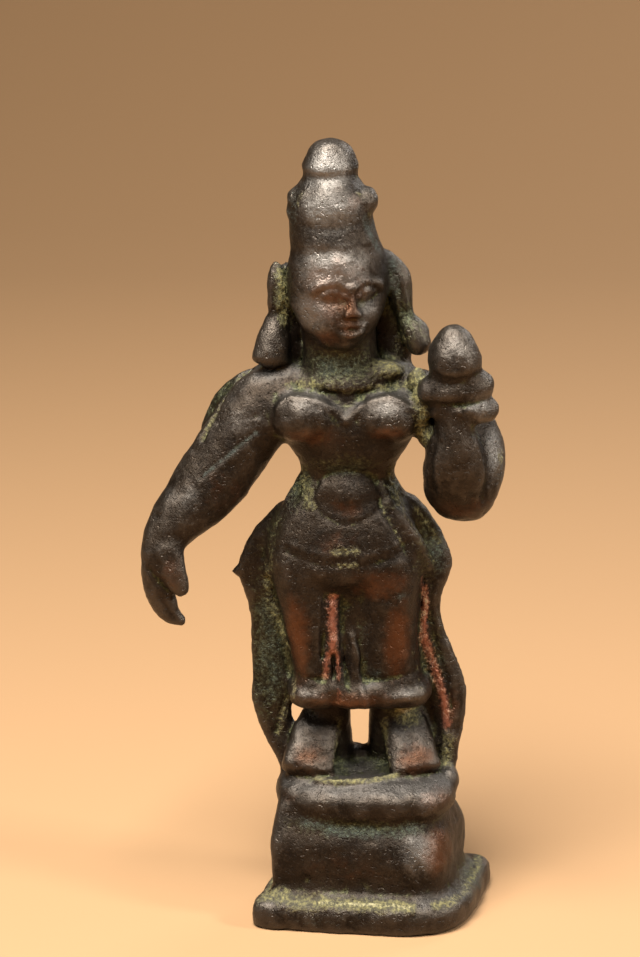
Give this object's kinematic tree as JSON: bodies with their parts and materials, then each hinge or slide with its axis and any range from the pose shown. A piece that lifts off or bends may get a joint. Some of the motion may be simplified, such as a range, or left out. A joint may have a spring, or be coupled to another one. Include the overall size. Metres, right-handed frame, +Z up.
{
  "type": "cast metal figurine",
  "caption": "Small solid-cast standing goddess in a tall crown, right arm hanging and left hand raised with a lotus bud, cast in one with its pedestal and slab.",
  "frame": {"origin": "middle of the plinth's flat underside", "axes": "+Z up through the figure, the figure faces -Y, and its right arm is on the -X side"},
  "size_m": [0.0477, 0.0226, 0.104],
  "materials": {
    "figure_with_plinth": "dark brown patina over copper alloy, worn smooth and half glossy"
  },
  "bodies": {
    "root": {"figure_with_plinth": "figure_with_plinth"}
  },
  "joints": []
}
